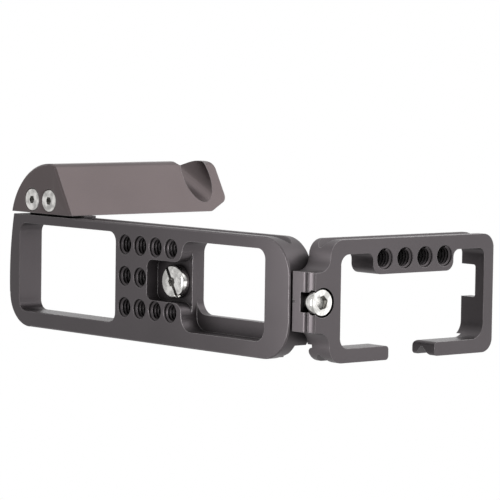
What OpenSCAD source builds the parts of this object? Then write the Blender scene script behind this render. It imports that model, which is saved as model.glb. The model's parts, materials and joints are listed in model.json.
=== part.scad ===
// Camera L-bracket: a machined base plate with tapped holes and a captive
// camera screw, a bolted hand grip in front, and a side plate for upright
// shots that a lock screw draws against the end of the base plate.
// Millimetres. The camera's own axes: X to the side plate, Y to the rear,
// Z up. The origin is on the camera screw's axis, in the camera's seat.

/* [Base plate] */
// length from the grip end to the side plate
base_len = 144.8; // [142:0.1:160]
// depth across the clamping edges
base_depth = 38; // [37:0.5:44]
// thickness from the underside to the camera's seat
base_t = 9.4; // [9:0.1:12]
// bulge of the left end, as the radius of its arc
left_arc_r = 110; // [80:5:200]
// radius of the left rear corner
left_corner_r = 11.2; // [8:0.2:12]
// radius of the two corners at the side plate
right_corner_r = 12.2; // [8:0.1:13]
// broken edge round the underside
base_edge = 0.4; // [0.2:0.1:0.6]

/* [Base windows] */
// wall at the left end
left_wall = 5.4; // [4.5:0.1:7]
// length of the left window, over the battery door
window_1_len = 52.8; // [40:0.1:53.4]
// front rail along the left window
window_1_front = 3.0; // [2.8:0.1:5]
// rear rail along both windows
rear_rail = 5.2; // [4.6:0.1:7]
// wall between the right window and the side plate
right_wall = 11.6; // [11.5:0.1:14]
// length of the right window
window_2_len = 40.7; // [34:0.1:41.2]
// front rail along the right window
window_2_front = 3.8; // [3.2:0.1:5]
// corner radius of the windows
window_r = 3.4; // [2:0.1:4]
// width of the step inside the rear of the right window
ledge_w = 5.2; // [2:0.1:6]
// thickness of that step
ledge_t = 2.8; // [2:0.1:4]
// height at which the right rear corner steps in
step_z = 4.8; // [4.4:0.1:6]
// how far it steps in
step_in = 4.7; // [2.4:0.1:4.8]
// length of the stepped part
step_len = 13; // [10:0.5:16]

/* [Clamping edges] */
// thickness of the flange that a clamp's jaws hold
flange_t = 2.8; // [2.5:0.1:3]
// depth of the groove above the flange on the base plate
base_groove = 2.0; // [1.6:0.1:2.2]
// depth of the groove behind the flange on the side plate
side_groove = 2.6; // [2:0.1:2.8]
// flat at the bottom of the grooves
groove_flat = 0.8; // [0.5:0.1:1]

/* [Tapped holes] */
// thread radius of the tapped holes
tap_r = 3.175; // [3:0.025:3.3]
// widening of each hole's mouth
tap_mouth = 0.25; // [0.1:0.05:0.3]
// hole spacing along the base plate
hole_pitch_x = 7.9; // [7.6:0.05:8.2]
// row spacing across the base plate
hole_pitch_y = 10.25; // [10:0.05:10.8]
// first holes, from the left window's wall
hole_first = 4.9; // [4.8:0.1:6]
// front row of holes, from the front edge
hole_front = 6.8; // [6.6:0.1:7.2]
// hole spacing up the side plate
side_pitch = 8.55; // [8:0.05:8.6]

/* [Camera screw] */
// radius of the camera screw's thread
screw_r = 3.175; // [3:0.025:3.3]
// radius of the neck under the thread, where the washer sits
neck_r = 2.6; // [2.2:0.1:2.8]
// height of the thread above the seat
screw_reach = 3.4; // [3:0.1:5.5]
// radius of the head
head_r = 5.4; // [5:0.1:5.8]
// thickness of the head
head_t = 3.3; // [3:0.1:4]
// play of the screw in its slot
slot_play = 0.12; // [0.08:0.02:0.2]
// depth of the pocket for the head
pocket_depth = 4.6; // [4.3:0.1:5]
// width of that pocket
pocket_w = 13.2; // [12.6:0.1:13.4]
// rounding where the pocket opens into the window
pocket_mouth_r = 3.6; // [2:0.1:4]
// distance of the camera screw from the front edge
cam_from_front = 17.4; // [17:0.1:17.6]
// slide from the stored place towards the left
slide_left = 5.0; // [2:0.1:5.4]
// slide from the stored place towards the right
slide_right = 1.4; // [0.5:0.1:1.6]
// wall between the screw's slot and the right window
slot_wall = 2.0; // [1.6:0.1:2.4]
// width of the coin slot
coin_w = 1.3; // [1:0.1:1.6]
// depth of the coin slot
coin_depth = 1.4; // [1:0.1:2]
// turn of the coin slot
coin_turn = 150; // [0:5:180]
// key size of the small socket
key_camera = 3.0; // [2.5:0.5:4]
// radius of the retaining washer
washer_r = 4.2; // [4:0.1:4.4]
// thickness of the retaining washer
washer_t = 0.8; // [0.6:0.1:1]

/* [Hand grip] */
// height of the grip from the underside
grip_h = 69.4; // [60:0.2:90]
// radius of the outer curve
grip_r = 21.6; // [20:0.1:22.4]
// how far the grip stands in front of the base plate
grip_out = 17.7; // [16:0.1:18]
// distance from the left end of the base plate to the highest line
grip_mid = 21.5; // [21.2:0.1:22.4]
// end of the flat side, from the left end of the base plate
grip_end = 34; // [33:0.1:36]
// lean of the inner face
grip_lean = 60.2; // [58:0.1:64]
// rounding between the outer curve and the inner face
grip_nose_r = 2.6; // [1.5:0.1:4]
// broken edge round the grip's lower end
grip_edge = 0.6; // [0.3:0.1:1]
// gap between the grip and the front edge
grip_gap = 0.8; // [0.5:0.1:1]
// underside of the ear that reaches into the grip
ear_z = 4.2; // [3.6:0.1:5]
// how far the ear reaches in front of the front edge
ear_out = 10.5; // [9.5:0.1:11]
// how far the ear's root passes the grip
web_past = 2.0; // [0:0.1:4]
// radius of the finger scoop
scoop_r = 6; // [5:0.1:7]
// distance of the scoop's middle from the top of the grip
scoop_down = 9.8; // [8.6:0.1:14]
// distance of the scoop's end from the inner face's lower edge
scoop_up = 3.6; // [3:0.1:6]
// angle between the scoop's run and the inner face
scoop_turn = 35; // [26:1:36]
// radius of the cut that takes the finger over the ridge
ridge_cut_r = 4.7; // [4.2:0.1:5]
// depth of the ridge cut
ridge_cut_d = 1.5; // [1.2:0.1:1.8]
// distance of the ridge cut from the top of the grip
ridge_cut_down = 13.8; // [13:0.1:15]
// rise of the ridge cut towards the far side
ridge_cut_rise = 15; // [10:1:20]
// angle between the ridge cut and the base plate's long edge
ridge_cut_turn = 3; // [0:0.5:4]
// height of the corner cut at the top of the grip
crop_h = 8.1; // [4:0.1:10]
// depth of the corner cut at the top of the grip
crop_d = 3.7; // [2:0.1:5]
// rounding of the cut's two corners
crop_r = 3; // [0.5:0.1:4]
// rounding of the outer corner at the upper end
horn_r = 3; // [0.5:0.1:4]

/* [Grip screws] */
// thread radius
grip_screw_r = 2.0; // [1.5:0.1:2]
// head radius
grip_head_r = 3.8; // [3.6:0.1:4]
// distance between the two screws
grip_screw_pitch = 9.4; // [9:0.1:10]
// distance of the left screw from the left end
grip_screw_x = 12.0; // [11.6:0.1:13]
// distance of the screws in front of the front edge
grip_screw_y = 5.2; // [5:0.1:6]
// length of the screws
grip_screw_len = 9; // [8:0.5:9]
// key size
key_grip = 2.5; // [2:0.5:3]

/* [Side plate] */
// height from the base plate's underside
side_h = 77.1; // [74:0.1:100]
// thickness
side_t = 10.1; // [10:0.05:12]
// gap to the base plate's end, bridged by a seat round the lock screw
side_gap = 0.6; // [0.4:0.1:1]
// rounding of the arms' inner edges
inner_round = 2.0; // [1:0.1:2.4]
// radius of the top corners
side_top_r = 4.5; // [3:0.1:6]
// radius of the shoulders over the neck
shoulder_r = 5.0; // [3:0.1:5.2]
// height of the shoulders
shoulder_z = 7.2; // [6.5:0.1:8]
// width of the neck
neck_w = 18.5; // [18:0.1:20]
// radius of the hollows beside the neck
neck_hollow_r = 4.4; // [3:0.1:4.8]
// gap under the foot, so that the base plate stands lower
foot_lift = 0.4; // [0.2:0.1:0.8]
// radius of the hollow along the foot's outer edge
cove_r = 3.0; // [2.6:0.1:3.2]
// distance of that hollow's middle from the outer face
cove_in = 1.65; // [1.5:0.05:1.8]
// rounding of the foot's lower edge
foot_round = 0.9; // [0.5:0.1:1.2]

/* [Side window] */
// lower edge of the window
side_win_z = 11.5; // [10.5:0.05:13]
// bar over the window
top_bar = 4.1; // [4:0.05:6]
// front bar, beside the tapped holes
front_bar = 4.55; // [4.2:0.05:6]
// rear arms
rear_bar = 4.4; // [4.2:0.1:6]
// top of the lower rear arm
arm_low_z = 31.9; // [26:0.1:34]
// foot of the upper rear arm
arm_high_z = 51.7; // [48:0.1:56]
// rounding of the arms' ends
arm_round = 1.2; // [0.5:0.1:1.5]
// radius of the window's corners
side_win_r = 3.3; // [2.4:0.1:4]
// radius of the window's upper rear corner
side_win_big_r = 5.0; // [3:0.1:6]
// depth of the bar that carries the tapped holes
lug_depth = 11.2; // [10.8:0.1:12]
// lower end of that bar
lug_z = 24.9; // [23:0.1:26]
// length of that bar
lug_len = 34.4; // [34.2:0.1:36]
// first tapped hole above the lower end
lug_hole_in = 4.9; // [4.2:0.1:5]
// rounding of that bar's ends
lug_r = 3.1; // [2:0.1:3.4]
// hollows where that bar starts
lug_hollow_r = 2.4; // [1.5:0.1:2.8]
// distance of the side holes from the front edge
side_hole_y = 6.5; // [6.4:0.1:7]
// thickness left outside the cable notch
notch_skin = 3.9; // [3:0.05:5]
// front of the cable notch
notch_y = 10.2; // [9:0.1:12]
// width of the cable notch
notch_w = 10.4; // [8:0.1:12]
// rounding in the cable notch
notch_round = 0.8; // [0.5:0.1:1.5]

/* [Lock screw] */
// thread radius
lock_r = 2.5; // [2:0.1:2.5]
// head radius
lock_head_r = 4.25; // [4:0.05:4.3]
// straight part of the head
lock_head_t = 2.2; // [1.8:0.1:2.6]
// tapered part of the head
lock_cone_t = 2.5; // [2:0.1:2.8]
// radius of the shoulder behind the head
shank_r = 2.85; // [2.75:0.05:2.9]
// length of that shoulder
shank_len = 1.1; // [0.8:0.1:1.3]
// room round the head
lock_room = 0.35; // [0.3:0.05:0.6]
// how far the head sits under the outer face
lock_sunk = 0.3; // [0.2:0.1:0.8]
// height of the screw over the underside
lock_z = 4.2; // [4.2:0.1:4.8]
// thread that reaches into the base plate
lock_reach = 9; // [8:0.5:10]
// width of the open slot under the shank
shank_slot_w = 6.2; // [5.6:0.1:6.6]
// key size
key_lock = 4; // [3:0.5:4]
// thickness of the retaining clip
clip_t = 0.8; // [0.6:0.1:1]
// radius of the retaining clip
clip_r = 3.6; // [3.4:0.1:3.8]

/* [Guide pins] */
// radius
pin_r = 1.25; // [1:0.05:1.25]
// distance of each pin from the middle
pin_off = 6.7; // [6.5:0.1:6.8]
// length held in the side plate
pin_held = 3.8; // [3:0.1:4]
// length that runs in the base plate
pin_run = 9; // [8:0.5:9]

/* [Fits] */
// running clearance on pins and screws, on the radius
run_fit = 0.04; // [0.02:0.01:0.1]
// clearance of fixed screws in their threads, on the radius
thread_fit = 0.02; // [0.01:0.01:0.05]

/* [Hidden] */
$fn = 96;
over = 1;
metal = [0.42, 0.40, 0.41];
metal_grip = [0.48, 0.45, 0.45];
steel = [0.80, 0.80, 0.79];
nylon = [0.12, 0.12, 0.13];

// base plate
arc_mid_y = base_depth * 0.56;
left_set = 0.3;
win_1_x = left_wall;
win_1_end = win_1_x + window_1_len;
win_rear_y = base_depth - rear_rail;
win_2_x = base_len - right_wall - window_2_len;
win_2_end = win_2_x + window_2_len;
window_2_more = [0.8, 0, 1, 1.4];
hole_x = win_1_end + hole_first;
row_mid = hole_front + hole_pitch_y;
row_rear = hole_front + 2 * hole_pitch_y;
step_r = 3;

// camera screw
slot_r = screw_r + slot_play;
slot_end_x = win_2_x - slot_wall - slot_r;
cam_x = slot_end_x - slide_right;
cam_y = cam_from_front;
slot_start_x = cam_x - slide_left;
pocket_room = 0.6;
pocket_x = slot_start_x - head_r - pocket_room;
pocket_r = 2.6;
washer_room = 0.2;
washer_sunk = 0.2;
hex_round = 1 / cos(30);

// grip
grip_cy = grip_r - grip_out;
lean_u = [cos(grip_lean), sin(grip_lean)];
lean_n = [sin(grip_lean), -cos(grip_lean)];
flat_end = [grip_end, -grip_gap];
grip_c = [grip_mid, grip_cy];
nose_k = (flat_end - grip_c) * lean_n - grip_nose_r;
nose_c = grip_c + nose_k * lean_n - sqrt(pow(grip_r - grip_nose_r, 2) - nose_k * nose_k) * lean_u;
nose_ease = 0.03;
nose_edge_r = grip_nose_r + nose_ease;
nose_dir = (nose_c - grip_c) / norm(nose_c - grip_c);
nose_t1 = grip_c + grip_r * nose_dir;
nose_t2 = nose_c + grip_nose_r * lean_n;
nose_tip = nose_c + 2.2 * grip_nose_r * (nose_dir + lean_n) / norm(nose_dir + lean_n);
scoop_z = grip_h - scoop_down;
head_in = 0.1;
head_rim = 0.25;
cone_r = grip_head_r + head_rim + head_in;
cone_end = cone_r - grip_screw_r;
cone_room = 0.05;
screw_end_room = 0.5;
hole_play = 0.2;
far_side = norm(flat_end - nose_t2);
scoop_a = grip_lean - scoop_turn;
scoop_c = nose_t2 + (far_side - scoop_up) * lean_u + scoop_r * [sin(scoop_a), -cos(scoop_a)];
ear_x = 5.5;
ear_past = 6;
ear_end = grip_screw_x + grip_screw_pitch + ear_past;
ear_r = 4;
ear_fit = 0.05;
ear_low = 0.4;

// side plate
x_in = base_len + side_gap;
x_out = x_in + side_t;
mid_y = base_depth / 2;
neck_y = mid_y - neck_w / 2;
arm_y = base_depth - rear_bar;
win_top_z = side_h - top_bar;
lug_hole_z = lug_z + lug_hole_in;
lug_end_z = lug_z + lug_len;
notch_x = x_out - notch_skin;
lock_face_x = x_out - lock_sunk;
cone_x = lock_face_x - lock_head_t;
shoulder_x = cone_x - lock_cone_t - shank_len;
clip_off = 0.3;
clip_x = x_in + clip_off;
seat_in = 1;
seat_w = neck_w - 2 * seat_in;
cove_low = 1.8;
cove_edge = 0.2;
cove_start = x_out - cove_in - sqrt(cove_r * cove_r - cove_low * cove_low) + cove_edge;
seat_low = 1.4;
seat_high = 6.4;
clip_room = 0.35;
clip_groove_r = lock_r - 0.4;

// moves a solid from the plate's corner to the camera screw's seat
module at_seat() {
    translate([-cam_x, -cam_y, -base_t]) children();
}

// what a rounded corner takes off a square one; dx and dy point to the arc's middle
module corner_off(x, y, r, dx, dy) {
    difference() {
        translate([min(x - dx * over, x + dx * r), min(y - dy * over, y + dy * r)]) square(r + over);
        translate([x + dx * r, y + dy * r]) circle(r);
    }
}

// what a rounding takes off a corner of any angle; the two ways lead along its sides
module blunt_corner(p, way_1, way_2, r) {
    u = way_1 / norm(way_1);
    v = way_2 / norm(way_2);
    half = acos(u * v) / 2;
    mid = (u + v) / norm(u + v);
    centre = p + mid * r / sin(half);
    difference() {
        polygon([p + u * r / tan(half), p - mid * over, p + v * r / tan(half), centre]);
        translate(centre) circle(r);
    }
}

// rectangle with a radius of its own at each corner: low-low, high-low, high-high, low-high
module soft_rect(x0, y0, x1, y1, r) {
    difference() {
        translate([x0, y0]) square([x1 - x0, y1 - y0]);
        corner_off(x0, y0, r[0], 1, 1);
        corner_off(x1, y0, r[1], -1, 1);
        corner_off(x1, y1, r[2], -1, -1);
        corner_off(x0, y1, r[3], 1, -1);
    }
}

// broken edge along X, the material lies on the +Y side
module edge_cut(length, c) {
    rotate([90, 0, 90]) linear_extrude(length)
        polygon([[-over, -over], [c + over, -over], [-over, c + over]]);
}

// broken edge of a round corner in the +X +Y quarter
module corner_cut(r, c) {
    translate([0, 0, -over]) difference() {
        cube([r + 2 * over, r + 2 * over, c + 2 * over]);
        cylinder(r1 = r - c - over, r2 = r + over, h = c + 2 * over);
    }
}

// widened mouth of a window with one corner radius
module wide_mouth(x0, y0, x1, y1, r, c) {
    out = c + over;
    translate([x0 + r, 0, 0]) rotate([90, 0, 90]) linear_extrude(x1 - x0 - 2 * r)
        polygon([[y0 - out, -over], [y1 + out, -over], [y1, c], [y0, c]]);
    translate([0, y1 - r, 0]) rotate([90, 0, 0]) linear_extrude(y1 - y0 - 2 * r)
        polygon([[x0 - out, -over], [x1 + out, -over], [x1, c], [x0, c]]);
    for (x = [x0 + r, x1 - r])
        for (y = [y0 + r, y1 - r])
            translate([x, y, -over]) cylinder(r1 = r + out, r2 = r, h = out);
}

// groove that runs along an edge: flange, slope, flat and slope back
module clamp_groove(depth, length) {
    rotate([90, 0, 90]) linear_extrude(length) polygon([
        [-over, flange_t - over],
        [depth, flange_t + depth],
        [depth, flange_t + depth + groove_flat],
        [-over, flange_t + 2 * depth + groove_flat + over]]);
}

// tapped hole with a widened mouth at both ends
module tapped(depth) {
    translate([0, 0, -over]) cylinder(r = tap_r, h = depth + 2 * over);
    mouth = tap_mouth + over;
    translate([0, 0, -over]) cylinder(r1 = tap_r + mouth, r2 = tap_r, h = mouth);
    translate([0, 0, depth - tap_mouth]) cylinder(r1 = tap_r, r2 = tap_r + mouth, h = mouth);
}

module hex_hole(key, depth) {
    cylinder(r = key / 2 * hex_round, h = depth, $fn = 6);
}

// plan of the base plate
module base_plan() {
    difference() {
        square([base_len, base_depth]);
        difference() {
            translate([-over, -over]) square([base_len / 2, base_depth + 2 * over]);
            translate([left_arc_r, arc_mid_y]) circle(left_arc_r, $fn = 360);
        }
        corner_off(left_set, base_depth, left_corner_r, 1, -1);
        translate([-over, base_depth - left_corner_r]) square([over + left_set, left_corner_r + over]);
        corner_off(base_len, 0, right_corner_r, -1, 1);
        corner_off(base_len, base_depth, right_corner_r, -1, -1);
    }
}

// D-shaped plan of the grip
module grip_plan() {
    far = 3 * grip_r;
    difference() {
        intersection() {
            translate(grip_c) circle(grip_r, $fn = 180);
            translate([0, -grip_gap - far]) square([far, far]);
            polygon([flat_end + over * lean_u, flat_end - far * lean_u,
                flat_end - far * lean_u - far * lean_n, flat_end + over * lean_u - far * lean_n]);
        }
        difference() {
            polygon([nose_t1, nose_tip, nose_t2, nose_c]);
            translate(nose_c) circle(grip_nose_r);
        }
    }
}

module base_plate() {
    w1 = window_r * [1, 1, 1, 1];
    w2 = w1 + window_2_more;
    color(metal) at_seat() difference() {
        union() {
            difference() {
                linear_extrude(base_t) base_plan();
                translate([grip_end + web_past, 0, 0]) clamp_groove(base_groove, base_len);
                translate([base_len + over, base_depth, 0]) rotate([0, 0, 180])
                    clamp_groove(base_groove, base_len + 2 * over);
            }
            // ear that carries the grip, and its root
            translate([0, 0, ear_z]) linear_extrude(base_t - ear_low - ear_z) {
                soft_rect(ear_x, -ear_out, ear_end, over, [ear_r, ear_r, 0.01, 0.01]);
                translate([ear_x, -grip_gap]) square([grip_end + web_past - ear_x, grip_gap + over]);
            }
        }
        // right rear corner stepped in over the flange
        translate([0, 0, step_z]) linear_extrude(base_t)
            soft_rect(base_len - step_len, base_depth - step_in, base_len + over, base_depth + over,
                [step_r, 0.01, 0.01, 0.01]);
        // left window, right window with its rear step
        translate([0, 0, -over]) linear_extrude(base_t + 2 * over)
            soft_rect(win_1_x, window_1_front, win_1_end, win_rear_y, w1);
        translate([0, 0, -over]) linear_extrude(base_t - ledge_t + over)
            soft_rect(win_2_x, window_2_front, win_2_end, win_rear_y, w2);
        translate([0, 0, -over]) linear_extrude(base_t + 2 * over)
            soft_rect(win_2_x, window_2_front, win_2_end, win_rear_y - ledge_w, [w2[0], w2[1], 0.01, w2[3]]);
        wide_mouth(win_1_x, window_1_front, win_1_end, win_rear_y, window_r, base_edge / 2);
        // broken outer edge of the underside
        translate([grip_end + web_past, 0, 0])
            edge_cut(base_len - right_corner_r - grip_end - web_past, base_edge);
        translate([base_len - right_corner_r, base_depth, 0]) rotate([0, 0, 180])
            edge_cut(base_len - right_corner_r - left_corner_r, base_edge);
        translate([base_len, right_corner_r, 0]) rotate([0, 0, 90])
            edge_cut(base_depth - 2 * right_corner_r, base_edge);
        translate([base_len - right_corner_r, right_corner_r, 0]) rotate([0, 0, 270])
            corner_cut(right_corner_r, base_edge);
        translate([base_len - right_corner_r, base_depth - right_corner_r, 0])
            corner_cut(right_corner_r, base_edge);
        // tapped holes: two full rows and a short middle row
        for (row = [[hole_front, 3], [row_mid, 1], [row_rear, 3]])
            for (i = [0 : row[1]])
                translate([hole_x + i * hole_pitch_x, row[0], 0]) tapped(base_t);
        // pocket, slot and washer recess of the camera screw
        translate([0, 0, -over]) linear_extrude(pocket_depth + over)
            soft_rect(pocket_x, cam_y - pocket_w / 2, win_2_x + over, cam_y + pocket_w / 2,
                [pocket_r, 0.01, 0.01, pocket_r]);
        translate([0, 0, -over]) linear_extrude(pocket_depth + over)
            for (s = [-1, 1])
                corner_off(win_2_x, cam_y + s * pocket_w / 2, pocket_mouth_r, -1, s);
        translate([slot_start_x, cam_y, 0]) cylinder(r = slot_r, h = base_t + over);
        translate([slot_start_x, cam_y - slot_r, 0]) cube([slot_end_x - slot_start_x, 2 * slot_r, base_t + over]);
        translate([slot_end_x, cam_y, 0]) cylinder(r = slot_r, h = base_t + over);
        translate([0, 0, base_t - washer_t - washer_sunk]) {
            track = washer_r + washer_room;
            translate([slot_start_x, cam_y, 0]) cylinder(r = track, h = base_t);
            translate([slot_start_x, cam_y - track, 0]) cube([slot_end_x - slot_start_x, 2 * track, base_t]);
            translate([slot_end_x, cam_y, 0]) cylinder(r = track, h = base_t);
        }
        // thread of the lock screw and bores of the guide pins
        translate([base_len + over, mid_y, lock_z]) rotate([0, -90, 0])
            cylinder(r = lock_r + run_fit, h = lock_reach + 1 + over);
        for (s = [-1, 1])
            translate([base_len + over, mid_y + s * pin_off, lock_z]) rotate([0, -90, 0])
                cylinder(r = pin_r + run_fit, h = pin_run + 1 + over);
        // threads of the grip screws, through the ear
        for (i = [0, 1])
            translate([grip_screw_x + i * grip_screw_pitch, -grip_screw_y, 0])
                cylinder(r = grip_screw_r + thread_fit, h = base_t + over);
    }
}

module camera_screw() {
    tip = 0.6;
    rim = 0.4;
    socket = 2.4;
    color(steel) at_seat() translate([cam_x, cam_y, 0]) difference() {
        union() {
            translate([0, 0, pocket_depth - head_t]) rotate_extrude() polygon([
                [0, 0], [head_r - rim, 0], [head_r, rim], [head_r, head_t], [0, head_t]]);
            translate([0, 0, pocket_depth - over]) cylinder(r = neck_r, h = base_t - pocket_depth + over);
            translate([0, 0, base_t - washer_sunk])
                cylinder(r = screw_r, h = washer_sunk + screw_reach - tip);
            translate([0, 0, base_t + screw_reach - tip])
                cylinder(r1 = screw_r, r2 = screw_r - tip, h = tip);
        }
        translate([0, 0, pocket_depth - head_t]) rotate([0, 0, coin_turn]) {
            translate([-coin_w / 2, -head_r - over, -over]) cube([coin_w, 2 * (head_r + over), coin_depth + over]);
            translate([0, 0, -over]) hex_hole(key_camera, socket + over);
        }
    }
}

module camera_screw_washer() {
    color(nylon) at_seat() translate([cam_x, cam_y, base_t - washer_t - washer_sunk]) difference() {
        cylinder(r = washer_r, h = washer_t);
        translate([0, 0, -over]) cylinder(r = neck_r + run_fit, h = washer_t + 2 * over);
    }
}

// runs an outline in Y and Z, counted from the grip's upper inner edge, along X
module along_x() {
    translate([0, -grip_gap, grip_h]) rotate([90, 0, 90]) linear_extrude(3 * grip_r) children();
}

module grip() {
    long = 3 * grip_r;
    color(metal_grip) at_seat() difference() {
        linear_extrude(grip_h) grip_plan();
        // slot for the base plate's ear
        translate([0, 0, ear_z]) linear_extrude(base_t - ear_low - ear_z + ear_fit)
            soft_rect(ear_x - ear_fit, -ear_out - ear_fit, ear_end + ear_fit, over, [ear_r, ear_r, 0.01, 0.01]);
        // broken edge round the lower end
        translate([grip_mid, grip_cy, -over]) difference() {
            cylinder(r = grip_r + 1, h = grip_edge + 2 * over);
            cylinder(r1 = grip_r - grip_edge - over, r2 = grip_r + over, h = grip_edge + 2 * over);
        }
        translate([grip_end, -grip_gap, 0]) rotate([0, 0, grip_lean + 180]) edge_cut(far_side, grip_edge);
        translate([0, 0, -over]) difference() {
            linear_extrude(grip_edge + 2 * over) polygon([nose_t1, nose_tip, nose_t2, nose_c]);
            translate([nose_c[0], nose_c[1], 0])
                cylinder(r1 = nose_edge_r - grip_edge - over, r2 = nose_edge_r + over, h = grip_edge + 2 * over);
        }
        // finger scoop: a round cutter run over the ridge and out of the inner face
        translate([scoop_c[0], scoop_c[1], scoop_z]) rotate([0, -90, scoop_a])
            translate([0, 0, -long / 2]) cylinder(r = scoop_r, h = 2 * long);
        // slanting cut through the ridge beside the scoop
        translate([nose_t2[0], -grip_out - ridge_cut_r + ridge_cut_d, grip_h - ridge_cut_down])
            rotate([0, ridge_cut_rise - 90, -ridge_cut_turn])
                translate([0, 0, -long / 2]) cylinder(r = ridge_cut_r, h = 2 * long);
        // corner cut beside the camera, and rounded corners of the upper end
        along_x() polygon([[over, over], [-crop_d - over * crop_d / crop_h, over],
            [over * crop_d / crop_h, -crop_h - over], [over, -crop_h - over]]);
        along_x() blunt_corner([-crop_d, 0], [-1, 0], [crop_d, -crop_h], crop_r);
        along_x() blunt_corner([0, -crop_h], [-crop_d, crop_h], [0, -1], crop_r);
        along_x() blunt_corner([grip_gap - grip_out, 0], [1, 0], [0, -1], horn_r);
        // countersunk holes of the screws
        for (i = [0, 1])
            translate([grip_screw_x + i * grip_screw_pitch, -grip_screw_y, 0]) {
                translate([0, 0, -over]) cylinder(r = grip_screw_r + hole_play,
                    h = over + head_in + grip_screw_len + screw_end_room);
                translate([0, 0, -over])
                    cylinder(r1 = cone_r + cone_room + over, r2 = grip_screw_r + cone_room,
                        h = cone_end + over);
            }
    }
}

module grip_screws() {
    tip = 0.5;
    socket = 1.6;
    color(steel) at_seat() for (i = [0, 1])
        translate([grip_screw_x + i * grip_screw_pitch, -grip_screw_y, head_in]) difference() {
            rotate_extrude() polygon([
                [0, 0], [grip_head_r - head_rim, 0], [grip_head_r, head_rim],
                [grip_screw_r, cone_end - head_in], [grip_screw_r, grip_screw_len - tip],
                [grip_screw_r - tip, grip_screw_len], [0, grip_screw_len]]);
            translate([0, 0, -over]) hex_hole(key_grip, socket + over);
        }
}

// outline of the side plate, seen along the base plate: rear to the right, camera's up is up
module side_plan() {
    difference() {
        union() {
            soft_rect(0, shoulder_z, base_depth, side_h, [shoulder_r, shoulder_r, side_top_r, side_top_r]);
            translate([neck_y, foot_lift]) square([neck_w, shoulder_z]);
            for (s = [-1, 1])
                translate([mid_y + s * neck_w / 2, shoulder_z]) difference() {
                    translate([s > 0 ? -over : -neck_hollow_r, -neck_hollow_r])
                        square([neck_hollow_r + over, neck_hollow_r + over]);
                    translate([s * neck_hollow_r, -neck_hollow_r]) circle(neck_hollow_r);
                }
        }
        difference() {
            soft_rect(front_bar, side_win_z, arm_y, win_top_z,
                [side_win_r, side_win_r, side_win_big_r, side_win_r - 1]);
            side_lug();
        }
        translate([arm_y - over, arm_low_z]) square([rear_bar + 2 * over, arm_high_z - arm_low_z]);
        for (y = [arm_y, base_depth]) {
            d = y == arm_y ? 1 : -1;
            corner_off(y, arm_low_z, arm_round, d, -1);
            corner_off(y, arm_high_z, arm_round, d, 1);
        }
    }
}

// bar that carries the side plate's tapped holes
module side_lug() {
    soft_rect(front_bar - lug_r - over, lug_z, lug_depth, lug_end_z, [0.01, lug_r, lug_r, 0.01]);
    for (end = [[lug_z, -1], [lug_end_z, 1]])
        translate([front_bar, end[0]]) difference() {
            translate([-over, end[1] > 0 ? -over : -lug_hollow_r]) square(lug_hollow_r + over);
            translate([lug_hollow_r, end[1] * lug_hollow_r]) circle(lug_hollow_r);
        }
}

module side_plate() {
    color(metal) at_seat() difference() {
        union() {
            translate([x_in, 0, 0]) rotate([90, 0, 90]) linear_extrude(side_t) side_plan();
            translate([base_len, mid_y - seat_w / 2, seat_low]) cube([side_gap + over, seat_w, seat_high - seat_low]);
        }
        // rounded inner edges of the two arms and of the top bar
        translate([0, 0, shoulder_z]) linear_extrude(arm_low_z) corner_off(x_in, arm_y, inner_round, 1, 1);
        translate([0, 0, arm_high_z - over]) linear_extrude(side_h) corner_off(x_in, arm_y, inner_round, 1, 1);
        // clamping grooves on both edges
        translate([x_out, 0, shoulder_z - over]) rotate([0, -90, 0])
            clamp_groove(side_groove, side_h - shoulder_z + 2 * over);
        translate([x_out, base_depth, side_h + over]) rotate([180, 0, 0]) rotate([0, -90, 0])
            clamp_groove(side_groove, side_h - shoulder_z + 2 * over);
        // tapped holes
        for (i = [0 : 3])
            translate([x_in, side_hole_y, lug_hole_z + i * side_pitch]) rotate([0, 90, 0]) tapped(side_t);
        // cable notch in the top bar
        translate([0, 0, win_top_z - over]) linear_extrude(top_bar + 2 * over)
            soft_rect(x_in - over, notch_y, notch_x, notch_y + notch_w, [0.01, notch_round, notch_round, 0.01]);
        // bore, open slot and hole of the lock screw
        translate([cone_x, mid_y, lock_z]) rotate([0, 90, 0])
            cylinder(r = lock_head_r + lock_room, h = side_t);
        translate([cone_x - lock_cone_t, mid_y, lock_z]) rotate([0, 90, 0])
            cylinder(r1 = shank_slot_w / 2, r2 = lock_head_r + lock_room, h = lock_cone_t);
        translate([shoulder_x, mid_y, lock_z]) rotate([0, 90, 0])
            cylinder(r = shank_slot_w / 2, h = shank_len + over);
        translate([shoulder_x, mid_y - shank_slot_w / 2, 0]) cube([side_t, shank_slot_w, lock_z]);
        translate([x_in - over, mid_y, lock_z]) rotate([0, 90, 0])
            cylinder(r = lock_r + run_fit, h = side_t - over);
        translate([base_len - over, mid_y, lock_z]) rotate([0, 90, 0])
            cylinder(r = clip_r + hole_play, h = over + clip_x - base_len + clip_t + clip_room);
        // holes that hold the guide pins
        for (s = [-1, 1])
            translate([base_len - over, mid_y + s * pin_off, lock_z]) rotate([0, 90, 0])
                cylinder(r = pin_r, h = side_gap + pin_held + over);
        // hollow and rounding along the foot's outer edge
        translate([x_out - cove_in, -over, foot_lift - cove_low]) rotate([-90, 0, 0])
            cylinder(r = cove_r, h = base_depth + 2 * over);
        translate([0, base_depth + over, 0]) rotate([90, 0, 0]) linear_extrude(base_depth + 2 * over)
            corner_off(cove_start, foot_lift, foot_round, -1, 1);
        // broken edge of the foot
        translate([x_in, neck_y + neck_w + over, foot_lift]) rotate([0, 0, 270])
            edge_cut(neck_w + 2 * over, base_edge);
    }
}

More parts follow.
